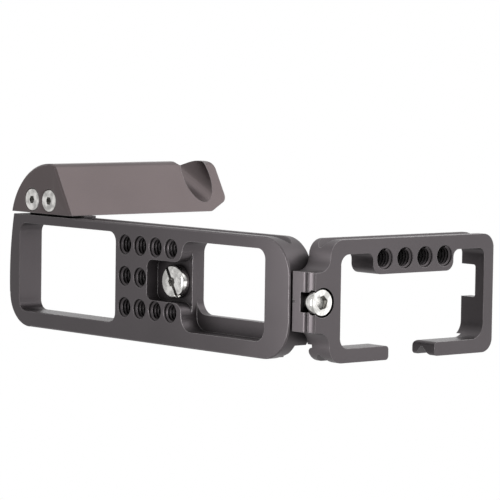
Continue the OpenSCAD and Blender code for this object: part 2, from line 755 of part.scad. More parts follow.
module lock_screw() {
    total = lock_face_x - base_len + lock_reach;
    shoulder = lock_face_x - shoulder_x;
    clip_at = lock_face_x - clip_x - clip_t;
    rim = 0.3;
    tip = 0.6;
    socket = 2.2;
    color(steel) at_seat() translate([lock_face_x, mid_y, lock_z]) rotate([0, -90, 0]) difference() {
        rotate_extrude() polygon([
            [0, 0], [lock_head_r - rim, 0], [lock_head_r, rim], [lock_head_r, lock_head_t],
            [shank_r, lock_head_t + lock_cone_t], [shank_r, shoulder],
            [lock_r, shoulder], [lock_r, clip_at], [clip_groove_r, clip_at],
            [clip_groove_r, clip_at + clip_t], [lock_r, clip_at + clip_t],
            [lock_r, total - tip], [lock_r - tip, total], [0, total]]);
        translate([0, 0, -over]) rotate([0, 0, 15]) hex_hole(key_lock, socket + over);
    }
}

module lock_screw_clip() {
    mouth = 2 * (clip_groove_r - 0.3);
    color(steel) at_seat() translate([clip_x, mid_y, lock_z]) rotate([0, 90, 0]) difference() {
        cylinder(r = clip_r, h = clip_t);
        translate([0, 0, -over]) cylinder(r = clip_groove_r, h = clip_t + 2 * over);
        translate([0, -mouth / 2, -over]) cube([clip_r + over, mouth, clip_t + 2 * over]);
    }
}

module guide_pins() {
    tip = 0.4;
    color(steel) at_seat() for (s = [-1, 1])
        translate([x_in + pin_held, mid_y + s * pin_off, lock_z]) rotate([0, -90, 0]) {
            cylinder(r = pin_r, h = pin_held + side_gap + pin_run - tip);
            translate([0, 0, pin_held + side_gap + pin_run - tip]) cylinder(r1 = pin_r, r2 = pin_r - tip, h = tip);
        }
}

base_plate();
camera_screw();
camera_screw_washer();
grip();
grip_screws();
side_plate();
lock_screw();
lock_screw_clip();
guide_pins();
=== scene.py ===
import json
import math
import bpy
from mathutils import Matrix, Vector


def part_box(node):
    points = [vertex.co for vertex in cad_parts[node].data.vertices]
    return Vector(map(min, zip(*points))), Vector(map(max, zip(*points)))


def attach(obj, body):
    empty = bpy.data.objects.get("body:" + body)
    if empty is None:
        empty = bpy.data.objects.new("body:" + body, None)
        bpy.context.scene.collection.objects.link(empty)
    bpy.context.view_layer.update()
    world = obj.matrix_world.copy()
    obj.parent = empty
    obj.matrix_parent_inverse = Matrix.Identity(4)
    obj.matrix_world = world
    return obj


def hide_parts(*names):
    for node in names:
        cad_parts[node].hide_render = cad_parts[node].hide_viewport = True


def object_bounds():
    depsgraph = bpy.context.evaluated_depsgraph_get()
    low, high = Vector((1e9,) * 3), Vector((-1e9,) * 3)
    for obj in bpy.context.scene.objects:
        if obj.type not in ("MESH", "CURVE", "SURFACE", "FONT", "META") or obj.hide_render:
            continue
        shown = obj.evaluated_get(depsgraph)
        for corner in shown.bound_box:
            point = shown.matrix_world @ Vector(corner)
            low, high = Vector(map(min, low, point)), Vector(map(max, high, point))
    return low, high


bl_info = {
    "name": "Camera L-bracket with hand grip",
    "version": (1, 0, 0),
    "blender": (4, 5, 0),
    "location": "3D View > Sidebar > Bracket",
    "description": "Finishes, screws, threads and studio of a machined camera L-bracket",
    "category": "Object",
}

import bpy
from mathutils import Matrix, Vector

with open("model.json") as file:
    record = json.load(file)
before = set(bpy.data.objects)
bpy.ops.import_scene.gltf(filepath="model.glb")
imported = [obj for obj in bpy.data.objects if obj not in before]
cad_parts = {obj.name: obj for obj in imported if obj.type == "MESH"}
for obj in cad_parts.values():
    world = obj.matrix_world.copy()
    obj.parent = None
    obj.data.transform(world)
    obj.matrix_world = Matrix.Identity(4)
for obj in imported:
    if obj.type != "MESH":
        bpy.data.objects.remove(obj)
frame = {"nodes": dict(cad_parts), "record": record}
cad_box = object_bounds()

MM = 0.001
WELD = 1e-6  # corners closer than this are merged
SMOOTH = math.radians(35)  # shallower edges are shaded round
THREAD_FOOT = 0.42  # half width of a thread's foot, in pitches
THREAD_CREST = 0.08  # half width of a thread's crest, in pitches
HOLE_LEAD = 0.25 * MM  # plain bore at each end of a tapped hole
mounts = {mount["name"]: mount for mount in frame["record"]["mounts"]}


# Helpers for modelling


def start_clean():
    """Leaves edit mode and selects nothing."""
    if bpy.context.object and bpy.context.object.mode != "OBJECT":
        bpy.ops.object.mode_set(mode="OBJECT")
    bpy.ops.object.select_all(action="DESELECT")


def only(obj):
    """Selects one object and makes it the active one."""
    start_clean()
    obj.select_set(True)
    bpy.context.view_layer.objects.active = obj


def settle(obj):
    """Moves an object's place into its mesh."""
    only(obj)
    bpy.ops.object.transform_apply(location=True, rotation=True, scale=True)


def apply_modifier(obj, kind, **values):
    """Adds a modifier, sets it up and applies it."""
    only(obj)
    modifier = obj.modifiers.new(kind.title(), kind)
    for key, value in values.items():
        setattr(modifier, key, value)
    bpy.ops.object.modifier_apply(modifier=modifier.name)


def join(parts, name):
    """Joins parts into one object with its place in its mesh."""
    start_clean()
    for part in parts:
        part.select_set(True)
    bpy.context.view_layer.objects.active = parts[0]
    if len(parts) > 1:
        bpy.ops.object.join()
    obj = bpy.context.view_layer.objects.active
    obj.name = obj.data.name = name
    settle(obj)
    return obj


def turned(name, profile, steps=72):
    """Turns a profile of (radius, height) points round Z into a closed solid."""
    start_clean()
    bpy.ops.mesh.primitive_circle_add(vertices=len(profile), radius=MM, fill_type="NOTHING")
    obj = bpy.context.object
    obj.name = name
    for vertex, (radius, height) in zip(obj.data.vertices, profile):
        vertex.co = (radius, 0.0, height)
    bpy.ops.object.mode_set(mode="EDIT")
    bpy.ops.mesh.select_all(action="SELECT")
    bpy.ops.mesh.spin(steps=steps, angle=2 * math.pi, center=(0, 0, 0), axis=(0, 0, 1))
    bpy.ops.mesh.select_all(action="SELECT")
    bpy.ops.mesh.remove_doubles(threshold=WELD)
    bpy.ops.mesh.select_all(action="SELECT")
    bpy.ops.mesh.normals_make_consistent(inside=False)
    bpy.ops.object.mode_set(mode="OBJECT")
    return obj


def ridge(name, root, tip, pitch, turns, steps=36):
    """Winds one thread ridge round Z, upwards from z = 0, and closes its ends."""
    start_clean()
    profile = [(root, -THREAD_FOOT * pitch), (tip, -THREAD_CREST * pitch),
               (tip, THREAD_CREST * pitch), (root, THREAD_FOOT * pitch)]
    bpy.ops.mesh.primitive_circle_add(vertices=4, radius=MM, fill_type="NOTHING")
    obj = bpy.context.object
    obj.name = name
    for vertex, (radius, height) in zip(obj.data.vertices, profile):
        vertex.co = (radius, 0.0, height)
    count = round(steps * turns)
    apply_modifier(obj, "SCREW", axis="Z", angle=2 * math.pi * turns, screw_offset=pitch * turns,
                   steps=count, render_steps=count, use_normal_calculate=False)
    bpy.ops.object.mode_set(mode="EDIT")
    bpy.ops.mesh.select_all(action="SELECT")
    bpy.ops.mesh.fill_holes(sides=6)
    bpy.ops.mesh.select_all(action="SELECT")
    bpy.ops.mesh.normals_make_consistent(inside=False)
    bpy.ops.object.mode_set(mode="OBJECT")
    return obj


def cut(obj, tool):
    """Takes a tool's shape out of an object."""
    apply_modifier(obj, "BOOLEAN", object=tool, operation="DIFFERENCE", solver="EXACT")
    bpy.data.objects.remove(tool)


def block(size, place, turn=(0, 0, 0)):
    """Adds a block by its size, middle and turn."""
    start_clean()
    bpy.ops.mesh.primitive_cube_add(size=1, location=place, rotation=turn, scale=size)
    return bpy.context.object


def hexagon(across, depth, place, turn=0.0):
    """Adds a six-sided prism by its width across flats."""
    start_clean()
    bpy.ops.mesh.primitive_cylinder_add(vertices=6, radius=across / math.sqrt(3), depth=depth,
                                        location=place, rotation=(0, 0, turn))
    return bpy.context.object


def ease_edges(obj, width, angle=40):
    """Rounds the sharp edges and shades the rest smooth."""
    apply_modifier(obj, "BEVEL", width=width, segments=2, limit_method="ANGLE",
                   angle_limit=math.radians(angle), harden_normals=False)
    only(obj)
    bpy.ops.object.shade_smooth_by_angle(angle=SMOOTH)


def node_box(node):
    """Lowest and highest corner of a CAD node."""
    low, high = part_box(node)
    return Vector(low), Vector(high)


# Helpers for materials

PLATE_SHADE_REACH = 7.0 * MM  # how far the painted shade in the plates' recesses reaches
SCREW_SHADE_REACH = 1.6 * MM  # the same on the screws
PLATE_EDGE = 0.28 * MM  # width of the worn edges of the plates, which also carry a painted edge highlight
SCREW_EDGE = 0.15 * MM  # width of the painted highlight on the screws' edges


def add_node(tree, kind, **values):
    """Adds a node; names of its sockets or settings take the values."""
    node = tree.nodes.new(kind)
    for key, value in values.items():
        if hasattr(node, key):
            setattr(node, key, value)
        else:
            node.inputs[key.replace("_", " ").title()].default_value = value
    return node


def noise(tree, where, scale, detail=2.0, rough=0.5):
    """Noise texture on Object coordinates."""
    texture = add_node(tree, "ShaderNodeTexNoise", Scale=scale, Detail=detail, Roughness=rough)
    tree.links.new(where, texture.inputs["Vector"])
    return texture.outputs["Fac"]


def spread(tree, source, low, high, to_low, to_high):
    """Maps a value from one range to another."""
    ranged = add_node(tree, "ShaderNodeMapRange")
    for socket, value in zip(list(ranged.inputs)[1:5], (low, high, to_low, to_high)):
        socket.default_value = value
    tree.links.new(source, ranged.inputs[0])
    return ranged.outputs[0]


def calculate(tree, operation, first, second):
    """Does one sum; either side is a socket or a number."""
    step = add_node(tree, "ShaderNodeMath", operation=operation)
    for socket, value in zip(step.inputs, (first, second)):
        if isinstance(value, (int, float)):
            socket.default_value = value
        else:
            tree.links.new(value, socket)
    return step.outputs[0]


def blend_colour(tree, factor, first, second):
    """Mixes two colours; either is a socket or a colour."""
    mixed = add_node(tree, "ShaderNodeMix", data_type="RGBA", blend_type="MIX")
    mixed.clamp_factor = True
    tree.links.new(factor, mixed.inputs[0])
    for socket, value in zip((mixed.inputs[6], mixed.inputs[7]), (first, second)):
        if isinstance(value, bpy.types.NodeSocket):
            tree.links.new(value, socket)
        else:
            socket.default_value = (*value, 1.0)
    return mixed.outputs[2]


def edge_mask(tree, width):
    """Finds the edges of a part: 0 on faces, 1 on sharp edges; also gives the rounded normal."""
    soft = add_node(tree, "ShaderNodeBevel", samples=8)
    soft.inputs["Radius"].default_value = width
    facing = add_node(tree, "ShaderNodeNewGeometry")
    closeness = add_node(tree, "ShaderNodeVectorMath", operation="DOT_PRODUCT")
    tree.links.new(soft.outputs[0], closeness.inputs[0])
    tree.links.new(facing.outputs["Normal"], closeness.inputs[1])
    return spread(tree, closeness.outputs["Value"], 0.99, 0.86, 0.0, 1.0), soft.outputs[0]


def painted_shade_mask(tree, reach, deepest_shade):
    """Painted shade: finds how open a place is, 1 on open faces, down to the given darkest value
    inside holes and pockets, to darken the colour there.
    """
    painted_shade = add_node(tree, "ShaderNodeAmbientOcclusion", samples=8)
    painted_shade.inputs["Distance"].default_value = reach
    return spread(tree, painted_shade.outputs["AO"], 0.15, 0.95, deepest_shade, 1.0)


def darken(tree, colour, factor):
    """Multiplies a colour by a grey value."""
    scaled = add_node(tree, "ShaderNodeVectorMath", operation="SCALE")
    tree.links.new(colour, scaled.inputs[0])
    tree.links.new(factor, scaled.inputs["Scale"])
    return scaled.outputs[0]


def new_material(name):
    """Starts a material and returns it with its tree, shader and Object coordinates."""
    material = bpy.data.materials.new(name)
    material.use_nodes = True
    tree = material.node_tree
    where = add_node(tree, "ShaderNodeTexCoord").outputs["Object"]
    return material, tree, tree.nodes["Principled BSDF"], where


def grain(tree, shader, height, scale_depth, normal=None):
    """Feeds a height into the shader's normal, on top of a rounded normal if given."""
    bump = add_node(tree, "ShaderNodeBump", Strength=1.0, Distance=scale_depth)
    tree.links.new(height, bump.inputs["Height"])
    if normal:
        tree.links.new(normal, bump.inputs["Normal"])
    tree.links.new(bump.outputs[0], shader.inputs["Normal"])


def anodised(name, colour, worn_and_highlight, rough, metal, depth, deepest_shade):
    """Blasted and anodised aluminium: clouded tone, fine grain, worn edges that are lightened as
    wear and as a painted edge highlight, and painted shade in recesses.
    """
    material, tree, shader, where = new_material(name)
    clouds = noise(tree, where, 22.0, 3.0, 0.55)
    specks = noise(tree, where, 2600.0, 2.0, 0.6)
    fine = noise(tree, where, 5200.0, 2.0, 0.6)
    darker = tuple(c * 0.88 for c in colour)
    lighter = tuple(c * 1.10 for c in colour)
    tone = blend_colour(tree, spread(tree, clouds, 0.32, 0.68, 0.0, 1.0), darker, lighter)
    speckled = blend_colour(tree, spread(tree, specks, 0.45, 0.72, 0.0, 0.22), tone, lighter)
    # The edges are lightened towards the worn colour: partly wear, partly a painted edge highlight.
    edge, rounded = edge_mask(tree, PLATE_EDGE)
    patchy = spread(tree, noise(tree, where, 260.0, 2.0), 0.35, 0.65, 0.45, 1.0)
    wear_and_highlight = calculate(tree, "MULTIPLY", edge, patchy)
    # Painted shade: the colour is darkened in recesses and pockets, down to the given darkest
    # value.
    painted_shade = painted_shade_mask(tree, PLATE_SHADE_REACH, deepest_shade)
    shaded = darken(tree, blend_colour(tree, wear_and_highlight, speckled, worn_and_highlight), painted_shade)
    tree.links.new(shaded, shader.inputs["Base Color"])
    base_rough = spread(tree, clouds, 0.3, 0.7, rough - 0.03, rough + 0.03)
    worn_rough = calculate(tree, "MULTIPLY", wear_and_highlight, -0.12)
    tree.links.new(calculate(tree, "ADD", base_rough, worn_rough), shader.inputs["Roughness"])
    shader.inputs["Metallic"].default_value = metal
    shader.inputs["Specular IOR Level"].default_value = 0.2
    grain(tree, shader, calculate(tree, "ADD", fine, calculate(tree, "MULTIPLY", specks, 0.6)),
          depth, rounded)
    return material


def turned_steel(name, colour, rough, axis_place, axis="Z", rings=0.11 * MM, depth=0.002 * MM):
    """Turned stainless steel: fine rings round the screw's own axis, random darker patches that are
    smudges and painted dark reflections, a painted highlight on the edges and painted shade in
    sockets and slots.
    """
    material, tree, shader, where = new_material(name)
    centred = add_node(tree, "ShaderNodeMapping", vector_type="POINT")
    centred.inputs["Location"].default_value = [-value for value in axis_place]
    tree.links.new(where, centred.inputs["Vector"])
    apart = add_node(tree, "ShaderNodeSeparateXYZ")
    tree.links.new(centred.outputs[0], apart.inputs[0])
    across = [apart.outputs[index] for index in range(3) if index != "XYZ".index(axis)]
    squares = [calculate(tree, "MULTIPLY", side, side) for side in across]
    radius = calculate(tree, "SQRT", calculate(tree, "ADD", *squares), 0.0)
    marks = calculate(tree, "SINE", calculate(tree, "MULTIPLY", radius, 2 * math.pi / rings), 0.0)
    # Random patches darker by almost half: smudges, and painted dark reflections.
    smudge_and_dark_reflection = noise(tree, where, 420.0, 3.0)
    scratches = noise(tree, where, 3000.0, 2.0)
    darker = tuple(c * 0.55 for c in colour)
    tone = blend_colour(tree, spread(tree, smudge_and_dark_reflection, 0.4, 0.62, 0.0, 1.0), colour, darker)
    # Painted highlight: the edges are lightened by an eighth.
    edge, rounded = edge_mask(tree, SCREW_EDGE)
    painted_highlight_colour = tuple(min(1.0, c * 1.12) for c in colour)
    # Painted shade: the colour is darkened in sockets, slots and pockets.
    painted_shade = painted_shade_mask(tree, SCREW_SHADE_REACH, 0.15)
    shaded = darken(tree, blend_colour(tree, edge, tone, painted_highlight_colour), painted_shade)
    tree.links.new(shaded, shader.inputs["Base Color"])
    tree.links.new(spread(tree, smudge_and_dark_reflection, 0.3, 0.7, rough - 0.05, rough + 0.07),
                   shader.inputs["Roughness"])
    shader.inputs["Metallic"].default_value = 1.0
    height = calculate(tree, "ADD", calculate(tree, "MULTIPLY", marks, 0.5), scratches)
    grain(tree, shader, height, depth, rounded)
    return material


def moulded(name, colour, rough):
    """Plain nylon: slightly waxy, with a fine uneven skin."""
    material, tree, shader, where = new_material(name)
    skin = noise(tree, where, 900.0, 3.0)
    darker = tuple(c * 0.8 for c in colour)
    lighter = tuple(c * 1.2 for c in colour)
    tree.links.new(blend_colour(tree, skin, darker, lighter), shader.inputs["Base Color"])
    tree.links.new(spread(tree, skin, 0.3, 0.7, rough - 0.05, rough + 0.05),
                   shader.inputs["Roughness"])
    grain(tree, shader, skin, 0.01 * MM)
    return material


def give(obj, material):
    """Puts one material on a piece or a CAD node."""
    if not obj.material_slots:
        obj.data.materials.append(material)
    for holder in obj.material_slots:
        holder.material = material


# Sizes and colours


class BracketFinish(bpy.types.PropertyGroup):
    """Colours and gloss of the bracket's surfaces."""

    plate_colour: bpy.props.FloatVectorProperty(
        name="Plate colour", description="Anodised tone of the base plate and side plate",
        default=(0.083, 0.074, 0.078), size=3, subtype="COLOR", min=0.0, max=1.0)
    grip_colour: bpy.props.FloatVectorProperty(
        name="Grip colour", description="Anodised tone of the hand grip",
        default=(0.112, 0.092, 0.093), size=3, subtype="COLOR", min=0.0, max=1.0)
    # The worn edge colour is partly wear and partly a painted edge highlight.
    worn_and_highlight_colour: bpy.props.FloatVectorProperty(
        name="Worn edge colour", description="Tone of the rubbed edges",
        default=(0.27, 0.255, 0.26), size=3, subtype="COLOR", min=0.0, max=1.0)
    steel_colour: bpy.props.FloatVectorProperty(
        name="Steel colour", description="Tone of the stainless screws",
        default=(0.66, 0.65, 0.63), size=3, subtype="COLOR", min=0.0, max=1.0)
    nylon_colour: bpy.props.FloatVectorProperty(
        name="Nylon colour", description="Tone of the camera screw's washer",
        default=(0.03, 0.03, 0.034), size=3, subtype="COLOR", min=0.0, max=1.0)
    plate_rough: bpy.props.FloatProperty(
        name="Plate roughness", description="How dull the anodised faces are",
        default=0.42, min=0.1, max=0.9, subtype="FACTOR")
    plate_metal: bpy.props.FloatProperty(
        name="Plate metal", description="How metallic the anodised faces are",
        default=0.7, min=0.0, max=1.0, subtype="FACTOR")
    grain_depth: bpy.props.FloatProperty(
        name="Grain depth", description="Depth of the blasted grain",
        default=0.012 * MM, min=0.0, max=0.1 * MM, subtype="DISTANCE", unit="LENGTH", precision=6)


class BracketGrip(bpy.types.PropertyGroup):
    """The hand grip's slope and the broken edge at its lower end."""

    slope_top: bpy.props.FloatVectorProperty(
        name="Slope top", description="Where the slope meets the rounded ridge, in plan",
        default=(-60.7076 * MM, -33.7447 * MM), size=2, subtype="TRANSLATION", unit="LENGTH")
    slope_foot: bpy.props.FloatVectorProperty(
        name="Slope foot", description="Where the slope meets the base plate's side, in plan",
        default=(-51.8050 * MM, -18.2000 * MM), size=2, subtype="TRANSLATION", unit="LENGTH")
    lean: bpy.props.FloatProperty(
        name="Lean", description="Angle of the slope in plan",
        default=math.radians(60.2), subtype="ANGLE")
    rebate_w: bpy.props.FloatProperty(
        name="Rebate width", description="Width of the rebate that is filled along the slope",
        default=1.0 * MM, unit="LENGTH", precision=6)
    rebate_h: bpy.props.FloatProperty(
        name="Rebate height", description="Height of the rebate that is filled along the slope",
        default=1.6 * MM, unit="LENGTH", precision=6)
    edge: bpy.props.FloatProperty(
        name="Broken edge", description="Width of the broken edge along the slope's lower end",
        default=0.6 * MM, unit="LENGTH", precision=6)


class BracketScrews(bpy.types.PropertyGroup):
    """Sizes of the screws and of the threads."""

    camera_thread_r: bpy.props.FloatProperty(
        name="Camera thread radius", description="Outer radius of the camera screw's thread",
        default=3.175 * MM, unit="LENGTH", precision=6)
    camera_pitch: bpy.props.FloatProperty(
        name="Camera thread pitch", description="Rise of the camera screw's thread in one turn",
        default=1.27 * MM, unit="LENGTH", precision=6)
    camera_core_r: bpy.props.FloatProperty(
        name="Camera thread core", description="Core radius of the camera screw's thread",
        default=2.52 * MM, unit="LENGTH", precision=6)
    camera_head_t: bpy.props.FloatProperty(
        name="Camera head thickness", description="Thickness of the camera screw's head",
        default=3.3 * MM, unit="LENGTH", precision=6)
    coin_w: bpy.props.FloatProperty(
        name="Coin slot width", description="Width of the slot for a coin",
        default=1.3 * MM, unit="LENGTH", precision=6)
    coin_depth: bpy.props.FloatProperty(
        name="Coin slot depth", description="Depth of the slot for a coin",
        default=1.4 * MM, unit="LENGTH", precision=6)
    coin_turn: bpy.props.FloatProperty(
        name="Coin slot turn", description="Angle of the coin slot on the head",
        default=math.radians(150), subtype="ANGLE")
    lock_pitch: bpy.props.FloatProperty(
        name="Lock thread pitch", description="Rise of the lock screw's thread in one turn",
        default=0.8 * MM, unit="LENGTH", precision=6)
    lock_head_t: bpy.props.FloatProperty(
        name="Lock head thickness", description="Straight part of the lock screw's head",
        default=2.2 * MM, unit="LENGTH", precision=6)
    lock_cone_t: bpy.props.FloatProperty(
        name="Lock head taper", description="Length of the taper under the lock screw's head",
        default=2.5 * MM, unit="LENGTH", precision=6)
    shoulder_r: bpy.props.FloatProperty(
        name="Shoulder radius", description="Radius of the lock screw's shoulder",
        default=2.85 * MM, unit="LENGTH", precision=6)
    shoulder_len: bpy.props.FloatProperty(
        name="Shoulder length", description="Length of the lock screw's shoulder",
        default=1.1 * MM, unit="LENGTH", precision=6)
    lock_key: bpy.props.FloatProperty(
        name="Lock key", description="Width across flats of the lock screw's socket",
        default=4.0 * MM, unit="LENGTH", precision=6)
    bar_t: bpy.props.FloatProperty(
        name="Bar thickness", description="Thickness of the side plate's bar at its tapped holes",
        default=10.1 * MM, unit="LENGTH", precision=6)


class BracketStudio(bpy.types.PropertyGroup):
    """Camera, lamps and floor."""

    camera_place: bpy.props.FloatVectorProperty(
        name="Camera place", description="Where the camera stands",
        default=(0.76243, -0.081114, -0.628556), size=3, subtype="TRANSLATION", unit="LENGTH")
    lens: bpy.props.FloatProperty(
        name="Lens", description="Focal length in millimetres on a frame 36 mm wide",
        default=221.214, min=20.0, max=600.0)
    lamp_power: bpy.props.FloatProperty(
        name="Lamp power", description="Power that each lamp takes its share of",
        default=6.0, min=0.0, max=100.0, unit="POWER")
    ambient: bpy.props.FloatProperty(
        name="Plain light", description="Plain light from all sides",
        default=0.1, min=0.0, max=2.0)
    floor_colour: bpy.props.FloatVectorProperty(
        name="Floor colour", description="Tone of the pale floor",
        default=(0.82, 0.82, 0.82), size=3, subtype="COLOR", min=0.0, max=1.0)


LAMP_REACH = 1.3  # from the bracket's middle to the large lamps
LOW_LAMP_PLACE = (0.052, 0.0, -0.07)  # under the base plate's right end
LOW_LAMP_SHARE = 0.012
FLOOR_GAP = 0.0002  # keeps the floor clear of the underside
CAMERA_AXES = Matrix((
    (0.649910, -0.064187, 0.757296),
    (-0.015060, -0.997319, -0.071607),
    (0.759862, 0.035133, -0.649135),
))


# Operators


class BRACKET_OT_plates(bpy.types.Operator):
    """Give the base plate, the side plate and the hand grip their anodised metal"""

    bl_idname = "bracket.plates"
    bl_label = "Anodised plates"

    def execute(self, context):
        finish = context.scene.bracket_finish
        # The last number is how dark the painted shade gets in recesses: strong on the plates,
        # slight on the grip.
        plate = anodised("plate anodised", tuple(finish.plate_colour), tuple(finish.worn_and_highlight_colour),
                         finish.plate_rough, finish.plate_metal, finish.grain_depth, 0.1)
        grip = anodised("grip anodised", tuple(finish.grip_colour), tuple(finish.worn_and_highlight_colour),
                        finish.plate_rough, finish.plate_metal, finish.grain_depth, 0.8)
        give(frame["nodes"]["base_plate"], plate)
        give(frame["nodes"]["side_plate"], plate)
        give(frame["nodes"]["grip"], grip)
        return {"FINISHED"}


class BRACKET_OT_grip(bpy.types.Operator):
    """Fill the rebate along the grip's slope and break the edge there instead"""

    bl_idname = "bracket.grip"
    bl_label = "Hand grip"

    def execute(self, context):
        sizes = context.scene.bracket_grip
        only(frame["nodes"]["grip"])
        bpy.ops.object.duplicate(linked=False)
        piece = bpy.context.object
        piece.name = piece.data.name = "grip_machined"
        bpy.ops.object.mode_set(mode="EDIT")
        bpy.ops.mesh.select_all(action="SELECT")
        bpy.ops.mesh.remove_doubles(threshold=WELD)
        bpy.ops.object.mode_set(mode="OBJECT")
        low = node_box("grip")[0].z
        along = Vector((math.cos(sizes.lean), math.sin(sizes.lean), 0.0))
        inward = Vector((-math.sin(sizes.lean), math.cos(sizes.lean), 0.0))
        top = Vector((*sizes.slope_top, low))
        foot = Vector((*sizes.slope_foot, low))
        lift = Vector((0.0, 0.0, sizes.rebate_h))
        width = sizes.rebate_w + 0.1 * MM
        side = Vector((-width / math.sin(sizes.lean), 0.0, 0.0))
        start = top - 0.05 * MM * along
        filler = self.prism([start, foot, foot + side, start + width * inward], lift)
        apply_modifier(piece, "BOOLEAN", object=filler, operation="UNION", solver="EXACT")
        bpy.data.objects.remove(filler)
        over = 0.5 * MM
        reach = sizes.edge + over
        down = Vector((0.0, 0.0, -over))
        end = foot + over * along
        wedge = self.prism([start - over * inward + down, start + reach * inward + down,
                            start - over * inward + Vector((0.0, 0.0, reach))], end - start)
        cut(piece, wedge)
        only(piece)
        bpy.ops.object.shade_smooth_by_angle(angle=math.radians(20))
        apply_modifier(piece, "WEIGHTED_NORMAL", mode="FACE_AREA", keep_sharp=True)
        give(piece, frame["nodes"]["grip"].material_slots[0].material)
        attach(piece, "base")
        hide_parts("grip")
        return {"FINISHED"}

    def prism(self, outline, way):
        """Raises a flat outline into a closed block."""
        start_clean()
        bpy.ops.mesh.primitive_circle_add(vertices=len(outline), radius=MM, fill_type="NGON")
        obj = bpy.context.object
        for vertex, place in zip(obj.data.vertices, outline):
            vertex.co = place
        bpy.ops.object.mode_set(mode="EDIT")
        bpy.ops.mesh.select_all(action="SELECT")
        bpy.ops.mesh.extrude_region_move(TRANSFORM_OT_translate={"value": tuple(way)})
        bpy.ops.mesh.select_all(action="SELECT")
        bpy.ops.mesh.normals_make_consistent(inside=False)
        bpy.ops.object.mode_set(mode="OBJECT")
        return obj


class BRACKET_OT_small_parts(bpy.types.Operator):
    """Finish the washer, the clip and the guide pins"""

    bl_idname = "bracket.small_parts"
    bl_label = "Small parts"

    def execute(self, context):
        finish = context.scene.bracket_finish
        low, high = node_box("lock_screw_clip")
        middle = (low + high) / 2
        nylon = moulded("washer nylon", tuple(finish.nylon_colour), 0.5)
        spring = turned_steel("clip spring steel", (0.16, 0.16, 0.17), 0.35, middle, "X")
        pin = turned_steel("pin steel", tuple(finish.steel_colour), 0.18, middle, "X")
        give(frame["nodes"]["camera_screw_washer"], nylon)
        give(frame["nodes"]["lock_screw_clip"], spring)
        give(frame["nodes"]["guide_pins"], pin)
        return {"FINISHED"}


class BRACKET_OT_grip_screws(bpy.types.Operator):
    """Finish the two countersunk screws in the grip's end"""

    bl_idname = "bracket.grip_screws"
    bl_label = "Grip screws"

    def execute(self, context):
        finish = context.scene.bracket_finish
        low, high = node_box("grip_screws")
        give(frame["nodes"]["grip_screws"],
             turned_steel("grip screw steel", tuple(finish.steel_colour), 0.25, (low + high) / 2))
        return {"FINISHED"}


class BRACKET_OT_camera_screw(bpy.types.Operator):
    """Model the camera screw with its thread, coin slot and socket"""

    bl_idname = "bracket.camera_screw"
    bl_label = "Camera screw"

    def execute(self, context):
        sizes = context.scene.bracket_screws
        finish = context.scene.bracket_finish
        low, high = node_box("camera_screw")
        head_r = high.x
        bottom, top = low.z, high.z
        head_top = bottom + sizes.camera_head_t
        core = sizes.camera_core_r
        screw = turned("camera_screw_turned", [
            (0.0, bottom), (head_r - 0.9 * MM, bottom),
            (head_r - 0.35 * MM, bottom + 0.2 * MM), (head_r, bottom + 0.6 * MM),
            (head_r, head_top - 0.25 * MM), (head_r - 0.25 * MM, head_top),
            (2.6 * MM, head_top), (2.6 * MM, -0.3 * MM), (core, -0.15 * MM),
            (core, top - 0.35 * MM), (core - 0.35 * MM, top), (0.0, top)])
        cut(screw, block((sizes.coin_w, 4 * head_r, 2 * sizes.coin_depth), (0, 0, bottom),
                         (0, 0, sizes.coin_turn)))
        cut(screw, hexagon(3.0 * MM, 4.8 * MM, (0, 0, bottom), sizes.coin_turn))
        ease_edges(screw, 0.09 * MM)
        pitch = sizes.camera_pitch
        turns = (top - 0.55 * MM - 0.5 * pitch) / pitch
        thread = ridge("thread", core - 0.05 * MM, sizes.camera_thread_r, pitch, turns)
        thread.location.z = 0.3 * pitch
        only(thread)
        bpy.ops.object.shade_smooth_by_angle(angle=SMOOTH)
        piece = join([screw, thread], "camera_screw_turned")
        give(piece, turned_steel("camera screw steel", tuple(finish.steel_colour), 0.22, (0, 0, 0)))
        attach(piece, "camera_screw")
        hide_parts("camera_screw")
        return {"FINISHED"}


class BRACKET_OT_lock_screw(bpy.types.Operator):
    """Model the lock screw with its head, socket, clip groove and thread"""

    bl_idname = "bracket.lock_screw"
    bl_label = "Lock screw"

    def execute(self, context):
        sizes = context.scene.bracket_screws
        finish = context.scene.bracket_finish
        low, high = node_box("lock_screw")
        clip_low, clip_high = node_box("lock_screw_clip")
        axis_y, axis_z = (low.y + high.y) / 2, (low.z + high.z) / 2
        head_r = (high.y - low.y) / 2
        shank = 2.5 * MM
        total = high.x - low.x
        taper = sizes.lock_head_t + sizes.lock_cone_t
        shoulder = taper + sizes.shoulder_len
        clip_from, clip_to = high.x - clip_high.x, high.x - clip_low.x
        pitch = sizes.lock_pitch
        core = shank - 0.49 * MM
        screw = turned("lock_screw_turned", [
            (0.0, 0.0), (head_r - 0.3 * MM, 0.0), (head_r, 0.3 * MM),
            (head_r, sizes.lock_head_t), (sizes.shoulder_r, taper), (sizes.shoulder_r, shoulder),
            (shank, shoulder), (shank, clip_from),
            (shank - 0.4 * MM, clip_from), (shank - 0.4 * MM, clip_to), (core, clip_to + 0.1 * MM),
            (core, total - 0.5 * MM), (core - 0.5 * MM, total), (0.0, total)])
        cut(screw, hexagon(sizes.lock_key, 4.4 * MM, (0, 0, 0), math.radians(15)))
        ease_edges(screw, 0.08 * MM)
        turns = (total - 0.7 * MM - clip_to - 0.9 * pitch) / pitch
        thread = ridge("thread", core - 0.05 * MM, shank, pitch, turns, 28)
        thread.location.z = clip_to + 0.45 * pitch
        only(thread)
        bpy.ops.object.shade_smooth_by_angle(angle=SMOOTH)
        piece = join([screw, thread], "lock_screw_turned")
        piece.rotation_euler = (0, -math.pi / 2, 0)
        piece.location = (high.x, axis_y, axis_z)
        settle(piece)
        give(piece, turned_steel("lock screw steel", tuple(finish.steel_colour), 0.2,
                                 (0, axis_y, axis_z), "X"))
        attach(piece, "lock")
        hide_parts("lock_screw")
        return {"FINISHED"}


